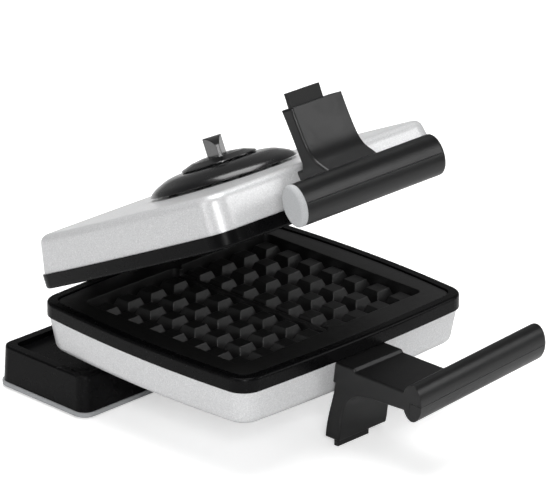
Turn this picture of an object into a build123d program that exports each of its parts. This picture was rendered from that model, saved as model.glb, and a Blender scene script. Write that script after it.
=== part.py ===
"""Turn-over waffle maker: two hinged cooking halves on a swivelling post above a low base."""
import math
import os
from dataclasses import dataclass

from build123d import *

os.makedirs("parts", exist_ok=True)

# The origin is on the table under the middle of the iron. +X runs to the right along the hinge, -Y to the
# handles, +Z up. Each half is drawn in its own frame: z = 0 is the plane where the halves meet and z grows
# outwards, towards that half's casing.

# Iron outline, seen from above
IRON_WIDTH = 264.0
IRON_DEPTH = 240.0
SIDE_BOW = 6.5  # how far the left and right sides bow outwards
FRONT_BOW = 4.2  # the same for the front and the rear
IRON_CORNER = 18.0

# Heights in the iron
PARTING_Z = 85.5  # the meeting plane above the table
FACE_GAP = 0.4  # each rim stays this far from the meeting plane
RIM_HEIGHT = 12.5
RIM_BAND = 8.0  # width of the rim's face
RIM_ROUND = 2.4
LEDGE_WIDTH = 5.0
LEDGE_THICK = 3.6
SKIRT_HEIGHT = 4.5
SKIRT_THICK = 2.0
CASING_HEIGHT = 30.0
CASING_WALL = 1.6
CASING_INSET = 1.2  # step from the rim back to the casing
CASING_DRAFT = 4.0  # how much each wall leans in over the casing's height
CASING_ROUND = 7.0
SEAT_GAP = 0.15  # clearance between pieces that are screwed together

# Cooking plates
PLATE_SINK = 1.4  # plate flange below the meeting plane
FLANGE_THICK = 7.0
PLATE_BACK = 19.0  # back of the plate
PLATE_SKIN = 4.6  # metal behind the wells
POCKETS_X = 4
POCKETS_Y = 7
PITCH = 25.4
WELL_GAP = 3.6  # ridge between the two waffles
RIDGE_SINK = 6.5
WELL_CORNER = 6.0
WELL_DRAFT = 12.0
STUD_BASE = 20.2
STUD_HEIGHT = 9.0
STUD_DRAFT = 22.0
PLATE_SCREW_X = 34.0
PLATE_SCREW_Y = 34.0
BOSS_RADIUS = 5.0
SCREW_RADIUS = 2.0
SCREW_HEAD_RADIUS = 3.8
SCREW_HEAD = 2.4

# Heating
HEATER_RADIUS = 3.5
HEATER_X = 84.0
HEATER_FRONT = 72.0
HEATER_REAR = 78.0
HEATER_ARM = 26.0  # half distance between the two rear arms
HEATER_BEND = 22.0
HEATER_COLD_END = 14.0
HEATER_SINK = 1.5  # how deep the heater lies in the groove of the plate
REFLECTOR_INSET = 19.0
REFLECTOR_THICK = 0.8
REFLECTOR_GAP = 1.2

# Lid hinge, tilt axle and swivel post
HINGE_Y = 130.0
HINGE_RISE = 6.0  # both axles lie this far above the meeting plane
AXLE_Y = 144.0  # tilt axle and swivel post
LID_REST_OPEN = 24.7
BAR_RADIUS = 3.5
BAR_HALF = 67.0
TILT_PIN_RADIUS = 4.0
RUNNING_FIT = 0.05  # radial clearance of a shaft in its hole
EYE_RADIUS = 7.8
EYE_HALF = 11.7
NECK_HALF = 4.0
CLEVIS_GAP = 0.3
CHEEK_THICK = 6.0
CHEEK_RADIUS = 8.0
CLEVIS_FLOOR = 13.0  # slot floor below the tilt axle
POST_RADIUS = 8.0
POST_NECK = 9.0
POST_FLANGE = 14.0
POST_FLANGE_THICK = 3.5
BUSH_OUTER = 10.5  # flanged bearing bush of the post
BUSH_COLLAR = 13.5
WASHER_THICK = 1.2
THRUST_GAP = 0.3
RING_THICK = 2.0
RING_RADIUS = 11.0
RING_BITE = 1.2  # groove depth
LOWER_EAR_X = 46.0
UPPER_EAR_X = 60.0
EAR_THICK = 4.0
LOWER_EAR_RADIUS = 7.5
UPPER_EAR_RADIUS = 9.7
BUSH_RADIUS = 4.75
BUSH_LENGTH = 6.0
BUSH_FLANGE = 7.0
BUSH_FLANGE_THICK = 1.2
FLOAT_TRAVEL = 3.0  # how far the upper half can lift off square as the batter rises
SLIDE_GAP = 0.06
BRACKET_HALF = 11.0
BRACKET_PLATE = 2.4
BRACKET_NEAR = 15.5  # bracket's edges, out from the meeting plane
BRACKET_FAR = 33.0
CLIP_THICK = 1.2
CLIP_RADIUS = 6.5
CLIP_PLAY = 0.4
EAR_PIN_RADIUS = 1.2

# Handles: common sizes, then each half's own
HANDLE_HALF = 28.0  # half width of bracket, arm and leg
LEG_SOLE = 14.5  # leg thickness at its end
HANDLE_EDGE = 2.0
TAB_WIDTH = 35.0
TAB_THICK = 4.0
TAB_SET_IN = 8.0
TAB_FIT = 0.1
TAB_SIDE = 1.5  # from the leg's left face
GRIP_WALL = 3.0
GRIP_ROUND = 4.5
SEAM_GAP = 0.25
GRIP_SCREW_RADIUS = 1.5
GRIP_BOSS_RADIUS = 3.4
GRIP_HEAD_RADIUS = 2.4
GRIP_HEAD = 1.5
GRIP_HEAD_SINK = 3.6
GRIP_SCREW_BITE = 8.0  # screw length in the handle half of the grip
HANDLE_SCREW_X = 15.0
HANDLE_SCREW_OUT = 24.0
HANDLE_SCREW_LENGTH = 16.0

LOWER_GRIP_Y = -197.8
LOWER_GRIP_OUT = 23.0
LOWER_GRIP_DEEP = 9.8
LOWER_GRIP_TALL = 15.2
LOWER_GRIP_RIGHT = 134.0
LOWER_GRIP_SWING = 5.0  # degrees that the grip's free end swings in towards the iron
LOWER_LEG_END = 80.5
LOWER_TAB_END = 85.5
LOWER_ARM_TOP = 15.3
LOWER_ARM_BOTTOM = 33.2
LOWER_BLOCK_END = 31.5
LOWER_TAB_Y = -118.2
LOWER_GRIP_SCREWS = (-12.0, 60.0, 116.0)

UPPER_GRIP_Y = -149.6
UPPER_GRIP_OUT = 15.4
UPPER_GRIP_DEEP = 11.4
UPPER_GRIP_TALL = 16.8
UPPER_GRIP_LEFT = -78.0
UPPER_GRIP_RIGHT = 83.0
UPPER_SHIFT = -4.0  # the upper arm, leg and foot sit this far off the middle
UPPER_LEG_END = 85.5
UPPER_BLOCK_END = 37.0
UPPER_TAB_END = 97.5
UPPER_TAB_Y = -127.6
UPPER_GRIP_SCREWS = (-52.0, 0.0, 66.0)
CAP_THICK = 5.0
CAP_ROUND = 3.0
CAP_SPIGOT = 6.0
SPIGOT_WALL = 2.0

# Vent dome and thermostat on the upper half
DOME_Y = 6.0
DOME_RADIUS = 61.0
DOME_LIFT = 2.2  # gap under the dome's edge
DOME_RISE = 12.0
DOME_WALL = 2.0
POST_COUNT = 8
STANDOFF_RADIUS = 2.5
STANDOFF_CIRCLE = 46.0
KNOB_RADIUS = 31.0
KNOB_LIFT = 0.6  # gap between knob and dome at the middle
KNOB_RISE = 6.3
KNOB_SKIRT = 1.0
FIN_HALF = 22.0  # half length of the finger bar across the knob
FIN_WIDTH = 15.7  # at its middle
FIN_TIP_WIDTH = 3.0
FIN_HEIGHT = 20.6
FIN_END_HEIGHT = 14.0
FIN_TURN = 56.0  # where the bar points at rest
FIN_ROUND = 0.8
RIB_COUNT = 24
RIB_HEIGHT = 0.5
RIB_WIDTH = 1.5
RIB_INNER = 27.0
SHAFT_RADIUS = 3.0
THERMOSTAT_RADIUS = 15.0
THERMOSTAT_HEIGHT = 8.0
SLEEVE_RADIUS = 5.0
SLEEVE_RISE = 8.0
SHAFT_IN_KNOB = 9.0

# Base
BASE_HALF = 134.5
BASE_FRONT = 56.0
BASE_REAR = 157.5
BASE_TOP = 36.0
BASE_CORNER = 10.0
BASE_DRAFT = 1.2
BASE_WALL = 3.0
BASE_EDGE = 1.5
RECESS_RIM = 8.0
RECESS_DEPTH = 5.0
RECESS_CORNER = 6.0
FOOT_LIFT = 1.5
BOTTOM_THICK = 4.0
BOTTOM_LIP = 1.5  # bottom plate beyond the housing
SOCKET_RADIUS = 15.0
SOCKET_TOP = 40.0
SOCKET_BOTTOM = 17.0
FOOT_RADIUS = 7.0
FOOT_RECESS = 1.0
FOOT_IN = 16.0
PILLAR_RADIUS = 5.0
PILLAR_IN = 38.0
BASE_SCREW_IN = 8.0
GLAND_X = 96.0
GLAND_Z = 17.0
GLAND_RADIUS = 6.5
GLAND_BORE = 3.2
GLAND_LENGTH = 14.0
TERMINAL_SIZE = (34.0, 18.0, 12.0)
TERMINAL_X = 62.0

HINGE_Z = PARTING_Z + HINGE_RISE
RIM_OUT = RIM_HEIGHT
CASING_OUT = RIM_HEIGHT + CASING_HEIGHT
PLATE_INSET = RIM_BAND + SEAT_GAP
BOTTOM_TOP = FOOT_LIFT + BOTTOM_THICK
LEFT = -HANDLE_HALF


def outline(inset, corner, out=0.0):
    """The iron's bowed outline, drawn in by inset, as a face at height out."""
    half_x = IRON_WIDTH / 2 - inset
    half_y = IRON_DEPTH / 2 - inset
    corner_x = half_x - SIDE_BOW
    corner_y = half_y - FRONT_BOW
    front = ThreePointArc((-corner_x, -corner_y), (0, -half_y), (corner_x, -corner_y))
    right = ThreePointArc((corner_x, -corner_y), (half_x, 0), (corner_x, corner_y))
    rear = ThreePointArc((corner_x, corner_y), (0, half_y), (-corner_x, corner_y))
    left = ThreePointArc((-corner_x, corner_y), (-half_x, 0), (-corner_x, -corner_y))
    face = make_face([front, right, rear, left])
    rounded = fillet(face.vertices(), corner)
    return Pos(0, 0, out) * rounded


def slab(inset, corner, low, high):
    """A straight block with the iron's outline between two heights."""
    return extrude(outline(inset, corner, low), amount=high - low)


def rod(radius, start, end):
    """A round bar between two points."""
    direction = Vector(*end) - Vector(*start)
    plane = Plane(origin=start, z_dir=direction)
    return extrude(plane * Circle(radius), amount=direction.length)


def block(low, high):
    """A box between two corners."""
    size = [b - a for a, b in zip(low, high)]
    middle = [(a + b) / 2 for a, b in zip(low, high)]
    return Pos(*middle) * Box(*size)


def side_profile(curves, x_low, x_high):
    """A face drawn as (y, z), swept along X."""
    face = make_face(curves)
    plane = Plane(origin=(x_low, 0, 0), x_dir=(0, 1, 0), z_dir=(1, 0, 0))
    return extrude(plane * face, amount=x_high - x_low)


def lower(shape):
    """Puts a shape drawn in the half frame into the lower half."""
    return Pos(0, 0, PARTING_Z) * mirror(shape, about=Plane.XY)


def upper(shape):
    """Puts a shape drawn in the half frame into the upper half, open as at rest."""
    hinge = Axis((0, HINGE_Y, HINGE_Z), (1, 0, 0))
    return (Pos(0, 0, PARTING_Z) * shape).rotate(hinge, -LID_REST_OPEN)


def both_sides(shape):
    """A shape and its mirror image across the middle of the iron."""
    return [shape, mirror(shape, about=Plane.YZ)]


def group(shapes):
    """Separate solids kept as one node."""
    solids = []
    for shape in shapes:
        solids.extend(shape.solids())
    return Compound(children=solids)


def save(name, shape):
    export_step(shape, f"parts/{name}.step")


# Halves


def casing_outer():
    near = outline(CASING_INSET, IRON_CORNER, RIM_OUT)
    far = outline(CASING_INSET + CASING_DRAFT, IRON_CORNER, CASING_OUT)
    body = loft([near, far])
    return fillet(body.edges().group_by(Axis.Z)[-1], CASING_ROUND)


def casing_inner():
    near = outline(CASING_INSET + CASING_WALL, IRON_CORNER - CASING_WALL, RIM_OUT)
    far_inset = CASING_INSET + CASING_DRAFT + CASING_WALL
    far = outline(far_inset, IRON_CORNER - CASING_WALL, CASING_OUT - CASING_WALL)
    body = loft([near, far])
    return fillet(body.edges().group_by(Axis.Z)[-1], CASING_ROUND - CASING_WALL)


def plate_screw_places():
    return [
        (x, DOME_Y + y)
        for x in (-PLATE_SCREW_X, PLATE_SCREW_X)
        for y in (-PLATE_SCREW_Y, PLATE_SCREW_Y)
    ]


def reflector_place():
    """Near and far face of the reflector, out from the meeting plane."""
    near = heater_out() + HEATER_RADIUS + REFLECTOR_GAP
    return near, near + REFLECTOR_THICK


def casing(outer, inner):
    shell = outer - inner
    reflector_far = reflector_place()[1]
    for x, y in plate_screw_places():
        foot = (x, y, CASING_OUT - CASING_WALL / 2)
        shell += rod(BOSS_RADIUS, (x, y, reflector_far), foot)
    for x, y in plate_screw_places():
        hole = SCREW_RADIUS + RUNNING_FIT
        head = SCREW_HEAD_RADIUS + RUNNING_FIT
        shell -= rod(hole, (x, y, 0), (x, y, CASING_OUT + 1))
        shell -= rod(head, (x, y, CASING_OUT - SCREW_HEAD), (x, y, CASING_OUT + 1))
    for x in (-HANDLE_SCREW_X, HANDLE_SCREW_X):
        front = -IRON_DEPTH / 2
        hole = SCREW_RADIUS + RUNNING_FIT
        shell -= rod(hole, (x, front - 2, HANDLE_SCREW_OUT), (x, front + 12, HANDLE_SCREW_OUT))
    return shell


def bracket_screw_places(ear_x):
    """Both brackets' screws, as (x, out)."""
    offset = BRACKET_HALF - 4
    middle = (BRACKET_NEAR + BRACKET_FAR) / 2
    return [(side * (ear_x + step), middle) for side in (-1, 1) for step in (-offset, offset)]


def drill_rear(shell, ear_x):
    rear = IRON_DEPTH / 2
    for x, out in bracket_screw_places(ear_x):
        shell -= rod(SCREW_RADIUS + RUNNING_FIT, (x, rear - 12, out), (x, rear + 2, out))
    return shell


def rim():
    ring = slab(0, IRON_CORNER, FACE_GAP, RIM_OUT)
    ring = fillet(ring.edges().group_by(Axis.Z)[0], RIM_ROUND)
    ring -= slab(RIM_BAND, IRON_CORNER - RIM_BAND, -1, RIM_OUT + 1)
    ledge_near = PLATE_SINK + FLANGE_THICK + SEAT_GAP
    ledge = slab(RIM_BAND - 1, IRON_CORNER - RIM_BAND, ledge_near, ledge_near + LEDGE_THICK)
    ledge -= slab(RIM_BAND + LEDGE_WIDTH, IRON_CORNER - RIM_BAND, 0, RIM_OUT + 1)
    skirt_inset = CASING_INSET + CASING_WALL + CASING_DRAFT * SKIRT_HEIGHT / CASING_HEIGHT + SEAT_GAP
    skirt_corner = IRON_CORNER - CASING_WALL
    skirt = slab(skirt_inset, skirt_corner, RIM_OUT - 1, RIM_OUT + SKIRT_HEIGHT)
    skirt -= slab(skirt_inset + SKIRT_THICK, skirt_corner - SKIRT_THICK, 0, CASING_OUT)
    ring = ring + ledge + skirt
    return ring


def heater_out():
    return PLATE_BACK + HEATER_RADIUS - HEATER_SINK


def grid_plate(groove):
    plate = slab(PLATE_INSET, IRON_CORNER - RIM_BAND, PLATE_SINK, PLATE_SINK + FLANGE_THICK)
    plate = chamfer(plate.edges().group_by(Axis.Z)[0], 1.2)
    body_inset = RIM_BAND + LEDGE_WIDTH + 1
    plate += slab(body_inset, IRON_CORNER - RIM_BAND, PLATE_SINK + 1, PLATE_BACK)
    floor = PLATE_BACK - PLATE_SKIN
    well_x = POCKETS_X * PITCH
    well_y = POCKETS_Y * PITCH
    for side in (-1, 1):
        middle = side * (well_x + WELL_GAP) / 2
        mouth = Pos(middle, 0, 0) * RectangleRounded(well_x, well_y, WELL_CORNER)
        plate -= extrude(mouth, amount=floor, taper=WELL_DRAFT / 2)
    ridge_high = block(
        (-WELL_GAP, -well_y / 2 + WELL_CORNER, 0),
        (WELL_GAP, well_y / 2 - WELL_CORNER, RIDGE_SINK),
    )
    plate -= ridge_high
    stud = extrude(Rectangle(STUD_BASE, STUD_BASE), amount=STUD_HEIGHT, taper=STUD_DRAFT)
    stud = Pos(0, 0, floor) * Rot(180, 0, 0) * stud
    studs = []
    for side in (-1, 1):
        start_x = side * (well_x + WELL_GAP) / 2 - (POCKETS_X - 1) * PITCH / 2
        for column in range(POCKETS_X):
            for row in range(POCKETS_Y):
                x = start_x + column * PITCH
                y = (row - (POCKETS_Y - 1) / 2) * PITCH
                studs.append(Pos(x, y, 0) * stud)
    plate = plate.fuse(*studs)
    reflector_near = reflector_place()[0]
    for x, y in plate_screw_places():
        plate += rod(BOSS_RADIUS, (x, y, PLATE_BACK - 1), (x, y, reflector_near))
    for x, y in plate_screw_places():
        hole = SCREW_RADIUS + RUNNING_FIT
        plate -= rod(hole, (x, y, PLATE_BACK), (x, y, reflector_near + 1))
    return plate - groove


def heater():
    ends_y = IRON_DEPTH / 2 - HEATER_COLD_END
    path = FilletPolyline(
        (-HEATER_ARM, ends_y, heater_out()),
        (-HEATER_ARM, HEATER_REAR - HEATER_BEND, heater_out()),
        (-HEATER_X, HEATER_REAR - HEATER_BEND, heater_out()),
        (-HEATER_X, -HEATER_FRONT, heater_out()),
        (HEATER_X, -HEATER_FRONT, heater_out()),
        (HEATER_X, HEATER_REAR - HEATER_BEND, heater_out()),
        (HEATER_ARM, HEATER_REAR - HEATER_BEND, heater_out()),
        (HEATER_ARM, ends_y, heater_out()),
        radius=HEATER_BEND,
    )
    section = Plane(origin=path @ 0, z_dir=path % 0) * Circle(HEATER_RADIUS)
    return sweep(section, path=path)


def reflector():
    near, far = reflector_place()
    sheet = slab(REFLECTOR_INSET, IRON_CORNER, near, far)
    for x, y in plate_screw_places():
        sheet -= rod(SCREW_RADIUS + RUNNING_FIT, (x, y, near - 1), (x, y, far + 1))
    return sheet


def plate_screws():
    screws = []
    for x, y in plate_screw_places():
        head_under = CASING_OUT - SCREW_HEAD
        screw = rod(SCREW_RADIUS, (x, y, PLATE_BACK), (x, y, head_under))
        screw += rod(SCREW_HEAD_RADIUS, (x, y, head_under), (x, y, CASING_OUT - 0.2))
        slot = block((x - 3, y - 0.5, CASING_OUT - 1.2), (x + 3, y + 0.5, CASING_OUT))
        screws.append(screw - slot)
    return group(screws)


# Hinge brackets


def bracket_seat(ear_x, outer):
    """The bracket's foot plate, seated on the casing's rear wall."""
    rear = IRON_DEPTH / 2
    plate = block(
        (ear_x - BRACKET_HALF, rear - 12, BRACKET_NEAR),
        (ear_x + BRACKET_HALF, rear - CASING_INSET + BRACKET_PLATE, BRACKET_FAR),
    )
    for _, out in bracket_screw_places(ear_x)[:1]:
        for x in (ear_x - BRACKET_HALF + 4, ear_x + BRACKET_HALF - 4):
            plate -= rod(SCREW_RADIUS + RUNNING_FIT, (x, rear - 14, out), (x, rear + 4, out))
    return plate - outer


def lower_hinge_brackets(outer):
    """In the half frame of the lower half, where the hinge axis is on the other side of the meeting plane."""
    rear = IRON_DEPTH / 2
    axis_out = -HINGE_RISE
    ear_front = HINGE_Y - LOWER_EAR_RADIUS
    seat_y = rear - CASING_INSET + BRACKET_PLATE / 2
    ear = side_profile(
        [
            Polyline(
                (ear_front, axis_out),
                (ear_front, RIM_OUT + 0.6),
                (rear - 6, RIM_OUT + 1.5),
                (rear - 6, BRACKET_FAR),
                (seat_y, BRACKET_FAR),
                (HINGE_Y + LOWER_EAR_RADIUS, RIM_OUT),
                (HINGE_Y + LOWER_EAR_RADIUS, axis_out),
            ),
            ThreePointArc(
                (HINGE_Y + LOWER_EAR_RADIUS, axis_out),
                (HINGE_Y, axis_out - LOWER_EAR_RADIUS),
                (ear_front, axis_out),
            ),
        ],
        LOWER_EAR_X - EAR_THICK / 2,
        LOWER_EAR_X + EAR_THICK / 2,
    )
    hole_start = (LOWER_EAR_X - EAR_THICK, HINGE_Y, axis_out)
    hole_end = (LOWER_EAR_X + EAR_THICK, HINGE_Y, axis_out)
    ear -= rod(BAR_RADIUS + RUNNING_FIT, hole_start, hole_end)
    bracket = bracket_seat(LOWER_EAR_X, outer) + (ear - outer)
    return group(both_sides(bracket))


def upper_hinge_brackets(outer):
    """Rotating ears, slotted so that the upper half can lift square off the bushes."""
    rear = IRON_DEPTH / 2
    axis_out = HINGE_RISE
    radius = UPPER_EAR_RADIUS
    ear_front = HINGE_Y - radius + 0.9
    seat_y = rear - CASING_INSET + BRACKET_PLATE / 2
    ear = side_profile(
        [
            Polyline(
                (ear_front, axis_out),
                (ear_front, RIM_OUT + 0.6),
                (rear - 6, RIM_OUT + 1.5),
                (rear - 6, BRACKET_FAR),
                (seat_y, BRACKET_FAR),
                (HINGE_Y + radius, axis_out + radius),
                (HINGE_Y + radius, axis_out),
            ),
            ThreePointArc(
                (HINGE_Y + radius, axis_out),
                (HINGE_Y, axis_out - radius),
                (ear_front, axis_out),
            ),
        ],
        UPPER_EAR_X - EAR_THICK / 2,
        UPPER_EAR_X + EAR_THICK / 2,
    )
    slot_radius = BUSH_RADIUS + SLIDE_GAP
    slot_x = (UPPER_EAR_X - EAR_THICK, UPPER_EAR_X + EAR_THICK)
    slot = block(
        (slot_x[0], HINGE_Y - slot_radius, axis_out - FLOAT_TRAVEL),
        (slot_x[1], HINGE_Y + slot_radius, axis_out),
    )
    for out in (axis_out - FLOAT_TRAVEL, axis_out):
        slot += rod(slot_radius, (slot_x[0], HINGE_Y, out), (slot_x[1], HINGE_Y, out))
    bracket = bracket_seat(UPPER_EAR_X, outer) + (ear - slot - outer)
    return group(both_sides(bracket))


def bracket_screws(ear_x):
    rear = IRON_DEPTH / 2
    face = rear - CASING_INSET + BRACKET_PLATE
    screws = []
    for x, out in bracket_screw_places(ear_x):
        screw = rod(SCREW_RADIUS, (x, face - 10, out), (x, face, out))
        head = rod(SCREW_HEAD_RADIUS, (x, face, out), (x, face + SCREW_HEAD, out))
        screws.append(screw + fillet(head.edges().group_by(Axis.Y)[-1], 1.0))
    return group(screws)


def hinge_bushes():
    """Round bushes that turn on the bar and slide in the upper ears' slots."""
    near = UPPER_EAR_X - BUSH_LENGTH / 2
    far = UPPER_EAR_X + BUSH_LENGTH / 2
    shape = rod(BUSH_RADIUS, (near, HINGE_Y, HINGE_RISE), (far, HINGE_Y, HINGE_RISE))
    flange_near = near - BUSH_FLANGE_THICK
    shape += rod(BUSH_FLANGE, (flange_near, HINGE_Y, HINGE_RISE), (near, HINGE_Y, HINGE_RISE))
    bore = BAR_RADIUS + RUNNING_FIT
    shape -= rod(bore, (near - 2, HINGE_Y, HINGE_RISE), (far + 1, HINGE_Y, HINGE_RISE))
    return group(both_sides(shape))


# Post, axle and hinge bar, in the object's frame


def hinge_tee():
    bar = rod(BAR_RADIUS, (-BAR_HALF, HINGE_Y, HINGE_Z), (BAR_HALF, HINGE_Y, HINGE_Z))
    neck = block(
        (-EYE_HALF, HINGE_Y - NECK_HALF, HINGE_Z - NECK_HALF),
        (EYE_HALF, AXLE_Y, HINGE_Z + NECK_HALF),
    )
    eye = rod(EYE_RADIUS, (-EYE_HALF, AXLE_Y, HINGE_Z), (EYE_HALF, AXLE_Y, HINGE_Z))
    bore = rod(
        TILT_PIN_RADIUS + RUNNING_FIT, (-BAR_HALF, AXLE_Y, HINGE_Z), (BAR_HALF, AXLE_Y, HINGE_Z)
    )
    tee = bar + neck + eye - bore
    for pin in ear_pins().solids():
        tee -= pin
    return tee


def ear_pins():
    """Cross pins that fix the bar in the lower ears."""
    pins = []
    for x in (-LOWER_EAR_X, LOWER_EAR_X):
        low = (x, HINGE_Y, HINGE_Z - LOWER_EAR_RADIUS)
        high = (x, HINGE_Y, HINGE_Z + LOWER_EAR_RADIUS)
        pins.append(rod(EAR_PIN_RADIUS, low, high))
    return group(pins)


def ring_heights():
    """Bottom and top of the groove for the post's retaining ring."""
    top = SOCKET_BOTTOM - THRUST_GAP
    return top - RING_THICK, top


def swivel_post():
    seat = SOCKET_TOP + WASHER_THICK + THRUST_GAP
    flange_top = seat + POST_FLANGE_THICK
    shaft = rod(POST_RADIUS, (0, AXLE_Y, BOTTOM_TOP + THRUST_GAP), (0, AXLE_Y, seat))
    low, high = ring_heights()
    groove = rod(POST_RADIUS + 1, (0, AXLE_Y, low), (0, AXLE_Y, high))
    groove -= rod(POST_RADIUS - RING_BITE, (0, AXLE_Y, low), (0, AXLE_Y, high))
    flange = rod(POST_FLANGE, (0, AXLE_Y, seat), (0, AXLE_Y, flange_top))
    slot_floor = HINGE_Z - CLEVIS_FLOOR
    neck = rod(POST_NECK, (0, AXLE_Y, flange_top), (0, AXLE_Y, slot_floor))
    half = EYE_HALF + CLEVIS_GAP
    outer_half = half + CHEEK_THICK
    head = block(
        (-outer_half, AXLE_Y - CHEEK_RADIUS, slot_floor - CHEEK_THICK),
        (outer_half, AXLE_Y + CHEEK_RADIUS, HINGE_Z),
    )
    head += rod(CHEEK_RADIUS, (-outer_half, AXLE_Y, HINGE_Z), (outer_half, AXLE_Y, HINGE_Z))
    head -= block(
        (-half, AXLE_Y - 2 * CHEEK_RADIUS, slot_floor),
        (half, AXLE_Y + 2 * CHEEK_RADIUS, HINGE_Z + 2 * CHEEK_RADIUS),
    )
    bore = rod(
        TILT_PIN_RADIUS + RUNNING_FIT,
        (-outer_half - 1, AXLE_Y, HINGE_Z),
        (outer_half + 1, AXLE_Y, HINGE_Z),
    )
    return shaft - groove + flange + neck + head - bore


def tilt_pin():
    outer_half = EYE_HALF + CLEVIS_GAP + CHEEK_THICK
    pin = rod(TILT_PIN_RADIUS, (-outer_half, AXLE_Y, HINGE_Z), (outer_half, AXLE_Y, HINGE_Z))
    for side in (-1, 1):
        face = (side * outer_half, AXLE_Y, HINGE_Z)
        head = rod(TILT_PIN_RADIUS + 2, face, (side * (outer_half + 1.6), AXLE_Y, HINGE_Z))
        pin += head
    return pin


def retaining_ring():
    low, high = ring_heights()
    ring = rod(RING_RADIUS, (0, AXLE_Y, low), (0, AXLE_Y, high))
    return ring - rod(POST_RADIUS - RING_BITE, (0, AXLE_Y, low), (0, AXLE_Y, high))


def hinge_clips():
    clips = []
    for side in (-1, 1):
        near = side * (UPPER_EAR_X + BUSH_LENGTH / 2 + CLIP_PLAY)
        far = near + side * CLIP_THICK
        clip = rod(CLIP_RADIUS, (near, HINGE_Y, HINGE_Z), (far, HINGE_Y, HINGE_Z))
        clips.append(clip - rod(BAR_RADIUS, (near, HINGE_Y, HINGE_Z), (far, HINGE_Y, HINGE_Z)))
    return group(clips)


# Handles, in the half frame


def round_sides(arm):
    """Rounds the edges along both sides of an arm."""
    sides = arm.faces().sort_by(Axis.X)
    return fillet(sides[0].edges() + sides[-1].edges(), HANDLE_EDGE)


def lower_arm():
    """Bracket, arm and leg of the lower handle."""
    seat = -IRON_DEPTH / 2 + 8
    profile = [
        Polyline(
            (seat, RIM_OUT + 0.5),
            (-137.5, RIM_OUT + 0.5),
            (-139.5, LOWER_ARM_TOP),
            (LOWER_GRIP_Y, LOWER_ARM_TOP),
            (LOWER_GRIP_Y, LOWER_ARM_BOTTOM - 2),
            (-156.7, LOWER_ARM_BOTTOM),
            (-146.0, 34.8),
        ),
        Spline(
            (-146.0, 34.8),
            (-137.0, 38.0),
            (-129.8, 44.2),
            (-126.6, 51.3),
            (-124.5, 60.5),
            (-121.4, LOWER_LEG_END),
        ),
        Polyline((-121.4, LOWER_LEG_END), (-121.4 + LEG_SOLE, LOWER_LEG_END)),
        Spline(
            (-121.4 + LEG_SOLE, LOWER_LEG_END),
            (-108.2, 70.1),
            (-111.4, 56.1),
            (-113.5, 48.5),
            (-116.2, 38.0),
        ),
        Polyline(
            (-116.2, 38.0), (-117.5, LOWER_BLOCK_END), (seat, LOWER_BLOCK_END), (seat, RIM_OUT + 0.5)
        ),
    ]
    return round_sides(side_profile(profile, -HANDLE_HALF, HANDLE_HALF))


def upper_arm():
    """Bracket, arm and leg of the upper handle."""
    seat = -IRON_DEPTH / 2 + 8
    profile = [
        Polyline(
            (seat, RIM_OUT + 0.5),
            (-126.0, RIM_OUT + 0.5),
            (-130.0, 11.0),
            (UPPER_GRIP_Y, 11.0),
            (UPPER_GRIP_Y, 31.5),
        ),
        Spline(
            (UPPER_GRIP_Y, 31.5),
            (-144.0, 36.6),
            (-139.1, 41.2),
            (-134.8, 50.0),
            (-133.1, 59.2),
            (-131.5, 73.9),
            (-130.8, UPPER_LEG_END),
        ),
        Polyline((-130.8, UPPER_LEG_END), (-118.0, UPPER_LEG_END)),
        Spline(
            (-118.0, UPPER_LEG_END),
            (-120.0, 69.5),
            (-121.5, 54.7),
            (-122.6, 42.3),
        ),
        Polyline(
            (-122.6, 42.3), (-121.0, UPPER_BLOCK_END), (seat, UPPER_BLOCK_END), (seat, RIM_OUT + 0.5)
        ),
    ]
    return Pos(UPPER_SHIFT, 0, 0) * round_sides(side_profile(profile, -HANDLE_HALF, HANDLE_HALF))


def oval(y, out, deep, tall, x_low, x_high):
    plane = Plane(origin=(x_low, y, out), x_dir=(0, 1, 0), z_dir=(1, 0, 0))
    return extrude(plane * Ellipse(deep, tall), amount=x_high - x_low)


def lower_grip():
    solid = oval(
        LOWER_GRIP_Y,
        LOWER_GRIP_OUT,
        LOWER_GRIP_DEEP,
        LOWER_GRIP_TALL,
        LEFT - HANDLE_EDGE,
        LOWER_GRIP_RIGHT,
    )
    ends = solid.faces().sort_by(Axis.X)
    solid = fillet(ends[-1].edges(), GRIP_ROUND)
    hollow = oval(
        LOWER_GRIP_Y,
        LOWER_GRIP_OUT,
        LOWER_GRIP_DEEP - GRIP_WALL,
        LOWER_GRIP_TALL - GRIP_WALL,
        HANDLE_HALF + GRIP_WALL,
        LOWER_GRIP_RIGHT - GRIP_WALL,
    )
    pivot = Axis((0, LOWER_GRIP_Y, 0), (0, 0, 1))
    solid = solid.rotate(pivot, LOWER_GRIP_SWING)
    flush = block((2 * LEFT, 2 * LOWER_GRIP_Y, 0), (LEFT, 0, 2 * LOWER_GRIP_OUT))
    return solid - flush, hollow.rotate(pivot, LOWER_GRIP_SWING)


def upper_grip():
    open_end = UPPER_GRIP_LEFT + CAP_THICK
    solid = oval(
        UPPER_GRIP_Y, UPPER_GRIP_OUT, UPPER_GRIP_DEEP, UPPER_GRIP_TALL, open_end, UPPER_GRIP_RIGHT
    )
    ends = solid.faces().sort_by(Axis.X)
    solid = fillet(ends[-1].edges(), GRIP_ROUND)
    deep = UPPER_GRIP_DEEP - GRIP_WALL
    tall = UPPER_GRIP_TALL - GRIP_WALL
    left_end = UPPER_SHIFT - HANDLE_HALF - GRIP_WALL
    right_start = UPPER_SHIFT + HANDLE_HALF + GRIP_WALL
    right_end = UPPER_GRIP_RIGHT - GRIP_WALL
    hollow = oval(UPPER_GRIP_Y, UPPER_GRIP_OUT, deep, tall, open_end - 1, left_end)
    hollow += oval(UPPER_GRIP_Y, UPPER_GRIP_OUT, deep, tall, right_start, right_end)
    return solid, hollow


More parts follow.
